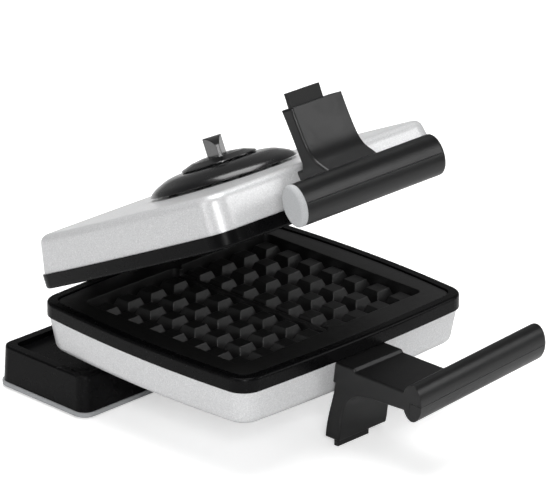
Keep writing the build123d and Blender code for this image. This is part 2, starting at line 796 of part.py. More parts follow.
@dataclass(frozen=True)
class Grip:
    """One grip: middle, half sizes, the seam side its cover lies on, the screw places,
    the middle of its arm along X and the angle it swings in at its free end."""

    y: float
    out: float
    deep: float
    tall: float
    cover_side: int
    screw_x: tuple
    arm_middle: float
    swing: float

    def line(self, x):
        """Y of the grip's middle line at x."""
        return self.y + x * math.tan(math.radians(self.swing))

    def screw(self, x, radius, head_radius, head_length):
        head_face = self.out + self.cover_side * (self.tall - GRIP_HEAD_SINK)
        tip = self.out - self.cover_side * GRIP_SCREW_BITE
        head_end = head_face + self.cover_side * head_length
        y = self.line(x)
        shank = rod(radius, (x, y, tip), (x, y, head_face))
        return shank + rod(head_radius, (x, y, head_face), (x, y, head_end))

    def screws(self):
        return [self.screw(x, GRIP_SCREW_RADIUS, GRIP_HEAD_RADIUS, GRIP_HEAD) for x in self.screw_x]

    def split(self, solid, hollow):
        """The handle's part and the cover, both with bosses and screw holes."""
        body = solid - hollow
        reach = self.tall - GRIP_WALL / 2
        for x in self.screw_x:
            low = (x, self.line(x), self.out - reach)
            high = (x, self.line(x), self.out + reach)
            body += rod(GRIP_BOSS_RADIUS, low, high)
        for x in self.screw_x:
            body -= self.screw(x, GRIP_SCREW_RADIUS, GRIP_HEAD_RADIUS, GRIP_HEAD)
            body -= self.screw(x, 0.1, GRIP_HEAD_RADIUS, GRIP_HEAD_SINK + 1)
        far = self.out + self.cover_side * 3 * self.tall
        seam = sorted((self.out, far))
        gap = sorted((self.out + self.cover_side * SEAM_GAP, far))
        wide = 2 * IRON_WIDTH
        cover_zone = block((-wide, 2 * self.y, seam[0]), (wide, 0, seam[1]))
        inner_zone = block((-wide, 2 * self.y, gap[0]), (wide, 0, gap[1]))
        left = self.arm_middle - HANDLE_HALF
        right = self.arm_middle + HANDLE_HALF
        arm_clear = block(
            (left - SEAM_GAP, self.y - SEAM_GAP, gap[0]), (right + SEAM_GAP, 0, gap[1])
        )
        arm_part = block((left, self.y, seam[0]), (right, 0, seam[1]))
        cover = (body & inner_zone) - arm_clear
        kept = (body - cover_zone) + (body & arm_part)
        return kept, cover


LOWER_GRIP = Grip(
    y=LOWER_GRIP_Y,
    out=LOWER_GRIP_OUT,
    deep=LOWER_GRIP_DEEP,
    tall=LOWER_GRIP_TALL,
    cover_side=1,
    screw_x=LOWER_GRIP_SCREWS,
    arm_middle=0.0,
    swing=LOWER_GRIP_SWING,
)
UPPER_GRIP = Grip(
    y=UPPER_GRIP_Y,
    out=UPPER_GRIP_OUT,
    deep=UPPER_GRIP_DEEP,
    tall=UPPER_GRIP_TALL,
    cover_side=-1,
    screw_x=UPPER_GRIP_SCREWS,
    arm_middle=UPPER_SHIFT,
    swing=0.0,
)


def foot_tab(left, y, leg_end, tab_end, fit=0.0):
    """The foot set into the end of a leg, whose left face is at left."""
    low = (left + TAB_SIDE - fit, y - TAB_THICK / 2 - fit, leg_end - TAB_SET_IN - fit)
    high = (left + TAB_SIDE + TAB_WIDTH + fit, y + TAB_THICK / 2 + fit, tab_end + fit)
    return block(low, high)


def handle_screws(shell):
    """Screws from inside the casing into the handle's block."""
    wall = -IRON_DEPTH / 2 + CASING_INSET + CASING_WALL
    screws = []
    for x in (-HANDLE_SCREW_X, HANDLE_SCREW_X):
        tip = (x, wall - HANDLE_SCREW_LENGTH, HANDLE_SCREW_OUT)
        end = (x, wall + CASING_DRAFT + 1, HANDLE_SCREW_OUT)
        head_start = (x, wall, HANDLE_SCREW_OUT)
        screws.append(rod(SCREW_RADIUS, tip, end) + (rod(SCREW_HEAD_RADIUS, head_start, end) - shell))
    return group(screws)


def handle(arm, grip, kept, tab, screws, outer):
    body = arm - outer
    body = body + kept
    body -= tab
    for screw in screws.solids():
        body -= screw
    for screw in grip.screws():
        body -= screw
    return body


def grip_end_cap():
    end = UPPER_GRIP_LEFT + CAP_THICK
    cap = oval(
        UPPER_GRIP_Y, UPPER_GRIP_OUT, UPPER_GRIP_DEEP, UPPER_GRIP_TALL, UPPER_GRIP_LEFT, end
    )
    cap = fillet(cap.faces().sort_by(Axis.X)[0].edges(), CAP_ROUND)
    deep = UPPER_GRIP_DEEP - GRIP_WALL - SEAT_GAP
    tall = UPPER_GRIP_TALL - GRIP_WALL - SEAT_GAP
    spigot = oval(UPPER_GRIP_Y, UPPER_GRIP_OUT, deep, tall, end - 1, end + CAP_SPIGOT)
    inner = oval(
        UPPER_GRIP_Y,
        UPPER_GRIP_OUT,
        deep - SPIGOT_WALL,
        tall - SPIGOT_WALL,
        end,
        end + CAP_SPIGOT + 1,
    )
    return cap + spigot - inner


# Vent dome, knob and thermostat, in the half frame


def turned(points):
    """A solid turned about the dome's middle from (radius, out) points."""
    face = make_face(Polyline(*points, close=True))
    plane = Plane(origin=(0, DOME_Y, 0), x_dir=(1, 0, 0), z_dir=(0, -1, 0))
    return revolve(plane * face, axis=Axis((0, DOME_Y, 0), (0, 0, 1)))


def dome_curve(base, shrink):
    """The dome's profile from its edge over the shoulder to the crown, moved in by shrink."""
    return Spline(
        (DOME_RADIUS - shrink, base),
        (DOME_RADIUS * 0.87 - shrink * 0.7, base + DOME_RISE * 0.55),
        (DOME_RADIUS * 0.70 - shrink * 0.4, base + DOME_RISE * 0.875),
        (DOME_RADIUS * 0.40, base + DOME_RISE * 0.98),
        (0, base + DOME_RISE),
        tangents=((-0.45, 1), (-1, 0)),
    )


def dome_solid(base, shrink):
    curve = dome_curve(base, shrink)
    edge = curve @ 0
    closing = Polyline((0, base + DOME_RISE), (0, base), (edge.X, base))
    plane = Plane(origin=(0, DOME_Y, 0), x_dir=(1, 0, 0), z_dir=(0, -1, 0))
    face = make_face([curve, closing])
    return revolve(plane * face, axis=Axis((0, DOME_Y, 0), (0, 0, 1)))


def vent_dome():
    edge = CASING_OUT + DOME_LIFT
    dome = dome_solid(edge, 0) - dome_solid(edge - DOME_WALL, DOME_WALL)
    hole = SLEEVE_RADIUS + 1
    return dome - rod(hole, (0, DOME_Y, edge), (0, DOME_Y, edge + DOME_RISE + 1))


def standoffs(dome):
    posts = []
    for index in range(POST_COUNT):
        turn = math.radians((index + 0.5) * 360 / POST_COUNT)
        x = STANDOFF_CIRCLE * math.cos(turn)
        y = DOME_Y + STANDOFF_CIRCLE * math.sin(turn)
        high = CASING_OUT + DOME_LIFT + DOME_RISE - DOME_WALL
        post = rod(STANDOFF_RADIUS, (x, y, CASING_OUT), (x, y, high)) - dome
        posts.append(post.solids().sort_by(Axis.Z)[0])
    return group(posts)


def knob_base():
    return CASING_OUT + DOME_LIFT + DOME_RISE + KNOB_LIFT


def thermostat_knob():
    low = knob_base()
    disc = turned(
        [
            (0, low),
            (KNOB_RADIUS, low),
            (KNOB_RADIUS, low + KNOB_SKIRT),
            (KNOB_RADIUS * 0.71, low + KNOB_RISE * 0.65),
            (KNOB_RADIUS * 0.43, low + KNOB_RISE * 0.86),
            (0, low + KNOB_RISE),
        ]
    )
    side = make_face(
        [
            Polyline(
                (-FIN_HALF, FIN_END_HEIGHT), (-FIN_HALF, 1), (FIN_HALF, 1), (FIN_HALF, FIN_END_HEIGHT)
            ),
            ThreePointArc(
                (FIN_HALF, FIN_END_HEIGHT), (0, FIN_HEIGHT), (-FIN_HALF, FIN_END_HEIGHT)
            ),
        ]
    )
    plane = Plane(origin=(0, 0, 0), x_dir=(1, 0, 0), z_dir=(0, -1, 0))
    fin = extrude(plane * side, amount=FIN_WIDTH / 2, both=True)
    plan = make_face(
        Polyline(
            (-FIN_HALF, -FIN_TIP_WIDTH / 2),
            (0, -FIN_WIDTH / 2),
            (FIN_HALF, -FIN_TIP_WIDTH / 2),
            (FIN_HALF, FIN_TIP_WIDTH / 2),
            (0, FIN_WIDTH / 2),
            (-FIN_HALF, FIN_TIP_WIDTH / 2),
            close=True,
        )
    )
    fin = fin & extrude(plan, amount=FIN_HEIGHT + 1)
    fin = fillet(fin.faces().sort_by(Axis.Z)[-1].edges(), FIN_ROUND)
    fin = Pos(0, DOME_Y, low) * Rot(0, 0, FIN_TURN) * fin
    knob = disc + fin
    for index in range(RIB_COUNT):
        rib = block((RIB_INNER, -RIB_WIDTH / 2, -RIB_HEIGHT), (KNOB_RADIUS - 0.5, RIB_WIDTH / 2, 0.2))
        knob += Pos(0, DOME_Y, low) * Rot(0, 0, index * 360 / RIB_COUNT) * rib
    return knob - shaft()


def shaft():
    low = CASING_OUT - CASING_WALL - THERMOSTAT_HEIGHT / 2
    return rod(SHAFT_RADIUS, (0, DOME_Y, low), (0, DOME_Y, knob_base() + SHAFT_IN_KNOB))


def thermostat_body():
    top = CASING_OUT - CASING_WALL
    body = rod(THERMOSTAT_RADIUS, (0, DOME_Y, top - THERMOSTAT_HEIGHT), (0, DOME_Y, top))
    body += rod(SLEEVE_RADIUS, (0, DOME_Y, top), (0, DOME_Y, CASING_OUT + SLEEVE_RISE))
    bore = SHAFT_RADIUS + RUNNING_FIT
    low = CASING_OUT - CASING_WALL - THERMOSTAT_HEIGHT / 2 - THRUST_GAP
    return body - rod(bore, (0, DOME_Y, low), (0, DOME_Y, CASING_OUT + DOME_LIFT + DOME_RISE))


# Base, in the object's frame


def base_box(grow, corner, low, high):
    half_y = (BASE_REAR - BASE_FRONT) / 2 + grow
    middle = (BASE_REAR + BASE_FRONT) / 2
    face = Pos(0, middle, low) * RectangleRounded(2 * (BASE_HALF + grow), 2 * half_y, corner)
    return extrude(face, amount=high - low)


def foot_places():
    return [
        (x, y)
        for x in (-BASE_HALF + FOOT_IN, BASE_HALF - FOOT_IN)
        for y in (BASE_FRONT + FOOT_IN, BASE_REAR - FOOT_IN)
    ]


def pillar_places():
    return [
        (x, y)
        for x in (-BASE_HALF + PILLAR_IN, BASE_HALF - PILLAR_IN)
        for y in (BASE_FRONT + FOOT_IN, BASE_REAR - FOOT_IN)
    ]


def base_housing():
    middle = (BASE_REAR + BASE_FRONT) / 2
    foot = Pos(0, middle, BOTTOM_TOP) * RectangleRounded(
        2 * BASE_HALF, BASE_REAR - BASE_FRONT, BASE_CORNER
    )
    head = Pos(0, middle, BASE_TOP) * RectangleRounded(
        2 * (BASE_HALF - BASE_DRAFT), BASE_REAR - BASE_FRONT - 2 * BASE_DRAFT, BASE_CORNER
    )
    body = loft([foot, head])
    body = fillet(body.edges().group_by(Axis.Z)[-1], BASE_EDGE)
    floor = BASE_TOP - RECESS_DEPTH
    body -= base_box(-BASE_DRAFT - RECESS_RIM, RECESS_CORNER, floor, BASE_TOP + 1)
    inner = base_box(-BASE_WALL - BASE_DRAFT, BASE_CORNER - BASE_WALL, 0, floor - BASE_WALL)
    body -= inner
    body += rod(SOCKET_RADIUS + BASE_WALL, (0, AXLE_Y, BOTTOM_TOP), (0, AXLE_Y, SOCKET_TOP))
    body -= rod(SOCKET_RADIUS, (0, AXLE_Y, 0), (0, AXLE_Y, SOCKET_BOTTOM))
    for x, y in pillar_places():
        body += rod(PILLAR_RADIUS, (x, y, BOTTOM_TOP), (x, y, floor - 1))
    for x, y in pillar_places():
        body -= rod(SCREW_RADIUS, (x, y, 0), (x, y, BOTTOM_TOP + BASE_SCREW_IN))
    body -= rod(BUSH_OUTER, (0, AXLE_Y, 0), (0, AXLE_Y, SOCKET_TOP + 1))
    gland_end = (GLAND_X, BASE_REAR + 1, GLAND_Z)
    body -= rod(GLAND_RADIUS, (GLAND_X, BASE_REAR - 2 * BASE_WALL - 2, GLAND_Z), gland_end)
    return body


def base_plate():
    low = FOOT_LIFT
    plate = base_box(BOTTOM_LIP, BASE_CORNER + BOTTOM_LIP, low, BOTTOM_TOP)
    tongue = SOCKET_RADIUS + BASE_WALL + BOTTOM_LIP
    plate += rod(tongue, (0, AXLE_Y, low), (0, AXLE_Y, BOTTOM_TOP))
    plate = fillet(plate.edges().group_by(Axis.Z)[0], 1.0)
    for x, y in foot_places():
        plate -= rod(FOOT_RADIUS, (x, y, 0), (x, y, low + FOOT_RECESS))
    for x, y in pillar_places():
        plate -= rod(SCREW_RADIUS + RUNNING_FIT, (x, y, 0), (x, y, BOTTOM_TOP + 1))
        plate -= rod(SCREW_HEAD_RADIUS + RUNNING_FIT, (x, y, 0), (x, y, low + SCREW_HEAD))
    return plate


def base_feet():
    feet = []
    for x, y in foot_places():
        foot = rod(FOOT_RADIUS, (x, y, 0), (x, y, FOOT_LIFT + FOOT_RECESS))
        feet.append(foot)
    return group(feet)


def base_screws():
    screws = []
    for x, y in pillar_places():
        head_top = FOOT_LIFT + SCREW_HEAD
        screw = rod(SCREW_RADIUS, (x, y, head_top), (x, y, BOTTOM_TOP + BASE_SCREW_IN))
        screws.append(screw + rod(SCREW_HEAD_RADIUS, (x, y, FOOT_LIFT), (x, y, head_top)))
    return group(screws)


def post_bush():
    bush = rod(BUSH_OUTER, (0, AXLE_Y, SOCKET_BOTTOM), (0, AXLE_Y, SOCKET_TOP))
    bush += rod(BUSH_COLLAR, (0, AXLE_Y, SOCKET_TOP), (0, AXLE_Y, SOCKET_TOP + WASHER_THICK))
    bore = POST_RADIUS + RUNNING_FIT
    return bush - rod(bore, (0, AXLE_Y, 0), (0, AXLE_Y, SOCKET_TOP + 2 * WASHER_THICK))


def cord_gland():
    inside = BASE_REAR - BASE_DRAFT - BASE_WALL - 1
    outside = BASE_REAR + GLAND_LENGTH
    gland = rod(GLAND_RADIUS, (GLAND_X, inside, GLAND_Z), (GLAND_X, BASE_REAR, GLAND_Z))
    collar = GLAND_RADIUS + 1.5
    gland += rod(collar, (GLAND_X, BASE_REAR, GLAND_Z), (GLAND_X, BASE_REAR + 2, GLAND_Z))
    sleeve_end = (GLAND_X, outside, GLAND_Z)
    gland += rod(GLAND_RADIUS - 1.5, (GLAND_X, BASE_REAR, GLAND_Z), sleeve_end)
    start = (GLAND_X, inside - 1, GLAND_Z)
    return gland - rod(GLAND_BORE, start, (GLAND_X, outside + 1, GLAND_Z))


def terminal_block():
    length, width, height = TERMINAL_SIZE
    rear = BASE_REAR - FOOT_IN
    body = block(
        (TERMINAL_X - length / 2, rear - width, BOTTOM_TOP),
        (TERMINAL_X + length / 2, rear, BOTTOM_TOP + height),
    )
    for index in (-1, 0, 1):
        x = TERMINAL_X + index * length / 3
        body -= rod(SCREW_RADIUS, (x, rear - width - 1, GLAND_Z - 3), (x, rear + 1, GLAND_Z - 3))
    return body


def main():
    outer = casing_outer()
    inner = casing_inner()
    tube = heater()
    plain = casing(outer, inner)
    plate = grid_plate(tube)
    ring = rim()
    sheet = reflector()
    screws = plate_screws()
    inside_screws = handle_screws(plain)

    save("base_housing", base_housing())
    save("base_plate", base_plate())
    save("base_feet", base_feet())
    save("base_screws", base_screws())
    save("post_bush", post_bush())
    save("cord_gland", cord_gland())
    save("terminal_block", terminal_block())

    save("swivel_post", swivel_post())
    save("tilt_pin", tilt_pin())
    save("retaining_ring", retaining_ring())

    save("hinge_tee", hinge_tee())
    save("hinge_clips", hinge_clips())
    save("ear_pins", ear_pins())
    lower_brackets = lower(lower_hinge_brackets(outer))
    for pin in ear_pins().solids():
        lower_brackets -= pin
    save("lower_hinge_brackets", group([lower_brackets]))
    save("lower_hinge_screws", lower(bracket_screws(LOWER_EAR_X)))
    save("lower_casing", lower(drill_rear(plain, LOWER_EAR_X)))
    save("lower_rim", lower(ring))
    save("lower_grid_plate", lower(plate))
    save("lower_heater", lower(tube))
    save("lower_reflector", lower(sheet))
    save("lower_plate_screws", lower(screws))
    kept, cover = LOWER_GRIP.split(*lower_grip())
    slot = foot_tab(LEFT, LOWER_TAB_Y, LOWER_LEG_END, LOWER_TAB_END, TAB_FIT)
    body = handle(lower_arm(), LOWER_GRIP, kept, slot, inside_screws, outer)
    save("lower_handle", lower(body))
    save("lower_grip_cover", lower(cover))
    save("lower_grip_screws", lower(group(LOWER_GRIP.screws())))
    save("lower_foot", lower(foot_tab(LEFT, LOWER_TAB_Y, LOWER_LEG_END, LOWER_TAB_END)))
    save("lower_handle_screws", lower(inside_screws))

    save("hinge_bushes", upper(hinge_bushes()))

    upper_shell = drill_rear(plain, UPPER_EAR_X)
    sleeve = SLEEVE_RADIUS + RUNNING_FIT
    upper_shell -= rod(sleeve, (0, DOME_Y, RIM_OUT), (0, DOME_Y, CASING_OUT + 1))
    save("upper_casing", upper(upper_shell))
    save("upper_rim", upper(ring))
    save("upper_grid_plate", upper(plate))
    save("upper_heater", upper(tube))
    save("upper_reflector", upper(sheet))
    save("upper_plate_screws", upper(screws))
    save("upper_hinge_brackets", upper(upper_hinge_brackets(outer)))
    save("upper_hinge_screws", upper(bracket_screws(UPPER_EAR_X)))
    kept, cover = UPPER_GRIP.split(*upper_grip())
    leg_left = LEFT + UPPER_SHIFT
    slot = foot_tab(leg_left, UPPER_TAB_Y, UPPER_LEG_END, UPPER_TAB_END, TAB_FIT)
    body = handle(upper_arm(), UPPER_GRIP, kept, slot, inside_screws, outer)
    save("upper_handle", upper(body))
    save("upper_grip_cover", upper(cover))
    save("upper_grip_screws", upper(group(UPPER_GRIP.screws())))
    save("upper_foot", upper(foot_tab(leg_left, UPPER_TAB_Y, UPPER_LEG_END, UPPER_TAB_END)))
    save("upper_handle_screws", upper(inside_screws))
    save("grip_end_cap", upper(grip_end_cap()))
    dome = vent_dome()
    save("vent_dome", upper(dome))
    save("dome_standoffs", upper(standoffs(dome)))
    save("thermostat_body", upper(thermostat_body()))

    save("thermostat_knob", upper(thermostat_knob()))
    save("thermostat_shaft", upper(shaft()))


main()
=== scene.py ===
"""The looks of a turn-over waffle maker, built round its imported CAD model."""

import logging
import math
from dataclasses import dataclass, field
from enum import Enum

import bpy
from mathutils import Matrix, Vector

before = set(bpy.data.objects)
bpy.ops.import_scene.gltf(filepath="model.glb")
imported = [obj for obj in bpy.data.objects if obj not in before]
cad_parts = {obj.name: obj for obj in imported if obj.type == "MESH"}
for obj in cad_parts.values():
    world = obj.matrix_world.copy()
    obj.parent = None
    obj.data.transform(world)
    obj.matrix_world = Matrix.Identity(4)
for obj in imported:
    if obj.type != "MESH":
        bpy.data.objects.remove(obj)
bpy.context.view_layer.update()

DEEPER_PLASTIC = 0.82  # how dark the speckles of moulded plastic are
DEEPER_COATING = 0.7  # the same for the non-stick coating
LOG = logging.getLogger("waffle_maker")

Colour = tuple[float, float, float]
Tree = bpy.types.NodeTree
Socket = bpy.types.NodeSocket


class Coating(Enum):
    """How much clear layer a surface has on top."""

    BARE = 0.0
    THIN = 0.25


class NodeWriter:
    """Short calls for placing and wiring nodes in one tree."""

    def __init__(self, tree: Tree) -> None:
        """Keeps the tree that the calls write to."""
        self.tree = tree

    def add(self, kind: str, **settings: object) -> bpy.types.Node:
        """Places a node.

        Args:
            kind: the node's class name.
            settings: properties to set on it.

        Returns:
            The new node.
        """
        node = self.tree.nodes.new(kind)
        for key, value in settings.items():
            setattr(node, key, value)
        return node

    def wire(self, source: Socket, target: Socket) -> None:
        """Joins an output to an input."""
        self.tree.links.new(source, target)

    def feed(self, target: Socket, value: Socket | float) -> None:
        """Wires a socket to an input, or sets a plain number on it."""
        if isinstance(value, bpy.types.NodeSocket):
            self.wire(value, target)
        else:
            target.default_value = value

    def maths(self, operation: str, a: Socket | float, b: Socket | float = 0.0) -> Socket:
        """One sum on two values.

        Args:
            operation: Blender's name of the sum.
            a: first value.
            b: second value.

        Returns:
            The result's socket.
        """
        node = self.add("ShaderNodeMath", operation=operation)
        self.feed(node.inputs[0], a)
        self.feed(node.inputs[1], b)
        return node.outputs[0]

    def ramp(
        self, value: Socket, low: float, high: float, start: float = 0.0, end: float = 1.0
    ) -> Socket:
        """Maps a value's span onto another, held at both ends.

        Args:
            value: the value to map.
            low: where the span starts.
            high: where the span ends.
            start: result at low.
            end: result at high.

        Returns:
            The mapped value's socket.
        """
        node = self.add("ShaderNodeMapRange", clamp=True)
        self.wire(value, node.inputs["Value"])
        ends = (("From Min", low), ("From Max", high), ("To Min", start), ("To Max", end))
        for name, number in ends:
            node.inputs[name].default_value = number
        return node.outputs["Result"]

    def colours(self, factor: Socket, first: Colour | Socket, second: Colour | Socket) -> Socket:
        """Mixes two colours by a mask.

        Args:
            factor: the mask.
            first: colour where the mask is 0.
            second: colour where the mask is 1.

        Returns:
            The mixed colour's socket.
        """
        node = self.add("ShaderNodeMix", data_type="RGBA", blend_type="MIX")
        self.wire(factor, node.inputs["Factor"])
        for name, colour in (("A", first), ("B", second)):
            target = next(s for s in node.inputs if s.name == name and s.type == "RGBA")
            if isinstance(colour, bpy.types.NodeSocket):
                self.wire(colour, target)
            else:
                target.default_value = (*colour, 1.0)
        return next(s for s in node.outputs if s.type == "RGBA")


class SharedEffect:
    """A shader node group with named inputs and outputs, built once."""

    name = ""
    inputs: tuple[tuple[str, float], ...] = ()
    outputs: tuple[tuple[str, str], ...] = ()

    def __init__(self) -> None:
        """Makes the empty group with its sockets and lets the effect fill it."""
        self.tree = bpy.data.node_groups.new(self.name, "ShaderNodeTree")
        for name, value in self.inputs:
            socket = self.tree.interface.new_socket(
                name, in_out="INPUT", socket_type="NodeSocketFloat"
            )
            socket.default_value = value
        for name, kind in self.outputs:
            self.tree.interface.new_socket(name, in_out="OUTPUT", socket_type=kind)
        writer = NodeWriter(self.tree)
        self.fill(writer, writer.add("NodeGroupInput"), writer.add("NodeGroupOutput"))

    def fill(self, writer: NodeWriter, given: bpy.types.Node, result: bpy.types.Node) -> None:
        """Wires the effect from its inputs to its outputs."""
        raise NotImplementedError

    def place(self, writer: NodeWriter, **values: float) -> bpy.types.Node:
        """Puts the group into a material.

        Args:
            writer: the material's writer.
            values: inputs to set, with spaces written as underscores.

        Returns:
            The group node.
        """
        node = writer.add("ShaderNodeGroup", node_tree=self.tree)
        for key, value in values.items():
            node.inputs[key.replace("_", " ")].default_value = value
        return node


def scaled_noise(
    writer: NodeWriter, scale: Socket | float, detail: float, rough: float = 0.5
) -> Socket:
    """Noise in the piece's own coordinates.

    Args:
        writer: where to place it.
        scale: cycles to the metre.
        detail: octaves.
        rough: weight of the small octaves.

    Returns:
        The noise's value socket.
    """
    place = writer.add("ShaderNodeTexCoord")
    noise = writer.add("ShaderNodeTexNoise")
    writer.wire(place.outputs["Object"], noise.inputs["Vector"])
    writer.feed(noise.inputs["Scale"], scale)
    noise.inputs["Detail"].default_value = detail
    noise.inputs["Roughness"].default_value = rough
    return noise.outputs["Fac"]


class FineGrain(SharedEffect):
    """The fine grain of a moulded or cast surface."""

    name = "fine_grain"
    inputs = (("Grain", 1500.0), ("Swell", 90.0), ("Swell Share", 0.3))
    outputs = (("Height", "NodeSocketFloat"), ("Speckle", "NodeSocketFloat"))

    def fill(self, writer: NodeWriter, given: bpy.types.Node, result: bpy.types.Node) -> None:
        """Adds fine noise to a slow swell."""
        grain = scaled_noise(writer, given.outputs["Grain"], 2.0)
        swell = scaled_noise(writer, given.outputs["Swell"], 1.0)
        part = writer.maths("MULTIPLY", swell, given.outputs["Swell Share"])
        writer.wire(writer.maths("ADD", grain, part), result.inputs["Height"])
        writer.wire(writer.ramp(grain, 0.35, 0.65), result.inputs["Speckle"])


class WornEdges(SharedEffect):
    """Rounded and rubbed edges."""

    name = "worn_edges"
    inputs = (("Radius", 0.0008), ("Scuff", 300.0))
    outputs = (("Normal", "NodeSocketVector"), ("Edge", "NodeSocketFloat"))

    def fill(self, writer: NodeWriter, given: bpy.types.Node, result: bpy.types.Node) -> None:
        """Compares the rounded normal with the plain one and breaks the mask up with noise."""
        bevel = writer.add("ShaderNodeBevel", samples=6)
        writer.wire(given.outputs["Radius"], bevel.inputs["Radius"])
        writer.wire(bevel.outputs["Normal"], result.inputs["Normal"])
        surface = writer.add("ShaderNodeNewGeometry")
        turn = writer.add("ShaderNodeVectorMath", operation="DOT_PRODUCT")
        writer.wire(bevel.outputs["Normal"], turn.inputs[0])
        writer.wire(surface.outputs["Normal"], turn.inputs[1])
        edge = writer.ramp(turn.outputs["Value"], 0.995, 0.85)
        scuff = scaled_noise(writer, given.outputs["Scuff"], 4.0, 0.65)
        broken = writer.ramp(scuff, 0.42, 0.62)
        writer.wire(writer.maths("MULTIPLY", edge, broken), result.inputs["Edge"])


class HandlingMarks(SharedEffect):
    """Patches left by hands and cloths, seen in the gloss."""

    name = "handling_marks"
    inputs = (("Patch", 25.0), ("Streak", 140.0))
    outputs = (("Mask", "NodeSocketFloat"),)

    def fill(self, writer: NodeWriter, given: bpy.types.Node, result: bpy.types.Node) -> None:
        """Multiplies broad patches by finer streaks."""
        patch = writer.ramp(scaled_noise(writer, given.outputs["Patch"], 3.0, 0.6), 0.4, 0.65)
        streak = writer.ramp(scaled_noise(writer, given.outputs["Streak"], 5.0, 0.7), 0.35, 0.7)
        writer.wire(writer.maths("MULTIPLY", patch, streak), result.inputs["Mask"])


@dataclass(frozen=True)
class Effects:
    """The node groups that the finishes share."""

    grain: FineGrain
    edges: WornEdges
    marks: HandlingMarks


def new_material(name: str) -> tuple[bpy.types.Material, NodeWriter, bpy.types.Node]:
    """An empty material with its Principled shader.

    Args:
        name: the material's name.

    Returns:
        The material, its writer and the shader node.
    """
    material = bpy.data.materials.new(name)
    material.use_nodes = True
    material.node_tree.nodes.clear()
    writer = NodeWriter(material.node_tree)
    shader = writer.add("ShaderNodeBsdfPrincipled")
    output = writer.add("ShaderNodeOutputMaterial")
    writer.wire(shader.outputs["BSDF"], output.inputs["Surface"])
    return material, writer, shader


def bump(
    writer: NodeWriter, shader: bpy.types.Node, height: Socket, depth: float, normal: Socket
) -> None:
    """Feeds a height to the shader's normal.

    Args:
        writer: the material's writer.
        shader: the Principled shader.
        height: the height's socket.
        depth: full height in metres.
        normal: normal to start from.
    """
    node = writer.add("ShaderNodeBump")
    node.inputs["Distance"].default_value = depth
    writer.wire(height, node.inputs["Height"])
    writer.wire(normal, node.inputs["Normal"])
    writer.wire(node.outputs["Normal"], shader.inputs["Normal"])


@dataclass(frozen=True)
class MouldedPlastic:
    """Moulded plastic or rubber with a fine grain, rubbed edges and handling marks."""

    name: str
    colour: Colour
    worn_colour: Colour
    roughness: float
    rub: float = 0.08
    grain: float = 1600.0
    depth: float = 0.00004
    edge_radius: float = 0.0008
    edge_share: float = 0.5
    shine: float = 0.3
    coating: Coating = Coating.BARE
    coat_roughness: float = 0.06

    def make(self, effects: Effects) -> bpy.types.Material:
        """Builds the material from the shared effects."""
        material, writer, shader = new_material(self.name)
        grain = effects.grain.place(writer, Grain=self.grain)
        edges = effects.edges.place(writer, Radius=self.edge_radius)
        marks = effects.marks.place(writer)
        deeper = tuple(DEEPER_PLASTIC * part for part in self.colour)
        base = writer.colours(grain.outputs["Speckle"], deeper, self.colour)
        edge = writer.maths("MULTIPLY", edges.outputs["Edge"], self.edge_share)
        writer.wire(writer.colours(edge, base, self.worn_colour), shader.inputs["Base Color"])
        rough = self.roughness
        gloss = writer.ramp(marks.outputs["Mask"], 0.0, 1.0, rough, rough + self.rub)
        writer.wire(gloss, shader.inputs["Roughness"])
        shader.inputs["Specular IOR Level"].default_value = self.shine
        shader.inputs["Coat Weight"].default_value = self.coating.value
        shader.inputs["Coat Roughness"].default_value = self.coat_roughness
        bump(writer, shader, grain.outputs["Height"], self.depth, edges.outputs["Normal"])
        return material


@dataclass(frozen=True)
class MetallicPaint:
    """Silver-white paint with fine metal flakes."""

    name: str
    colour: Colour
    dark_flake: Colour
    bright_flake: Colour
    metallic: float = 0.25
    roughness: float = 0.34
    flake: float = 1500.0
    flake_depth: float = 0.000003
    edge_radius: float = 0.001
    edge_share: float = 0.25
    rub: float = 0.07
    coat_roughness: float = 0.12

    def make(self, effects: Effects) -> bpy.types.Material:
        """Builds the material from the shared effects and its own flakes."""
        material, writer, shader = new_material(self.name)
        place = writer.add("ShaderNodeTexCoord")
        cells = writer.add("ShaderNodeTexVoronoi", feature="F1")
        writer.wire(place.outputs["Object"], cells.inputs["Vector"])
        cells.inputs["Scale"].default_value = self.flake
        split = writer.add("ShaderNodeSeparateColor")
        writer.wire(cells.outputs["Color"], split.inputs["Color"])
        dark = writer.ramp(split.outputs["Red"], 0.0, 0.4, 1.0, 0.0)
        bright = writer.ramp(split.outputs["Green"], 0.72, 1.0)
        base = writer.colours(dark, self.colour, self.dark_flake)
        flaked = writer.colours(bright, base, self.bright_flake)
        edges = effects.edges.place(writer, Radius=self.edge_radius)
        edge = writer.maths("MULTIPLY", edges.outputs["Edge"], self.edge_share)
        writer.wire(writer.colours(edge, flaked, self.dark_flake), shader.inputs["Base Color"])
        marks = effects.marks.place(writer)
        rough = self.roughness
        gloss = writer.ramp(marks.outputs["Mask"], 0.0, 1.0, rough, rough + self.rub)
        writer.wire(gloss, shader.inputs["Roughness"])
        shader.inputs["Metallic"].default_value = self.metallic
        shader.inputs["Coat Weight"].default_value = Coating.THIN.value
        shader.inputs["Coat Roughness"].default_value = self.coat_roughness
        bump(writer, shader, split.outputs["Blue"], self.flake_depth, edges.outputs["Normal"])
        return material


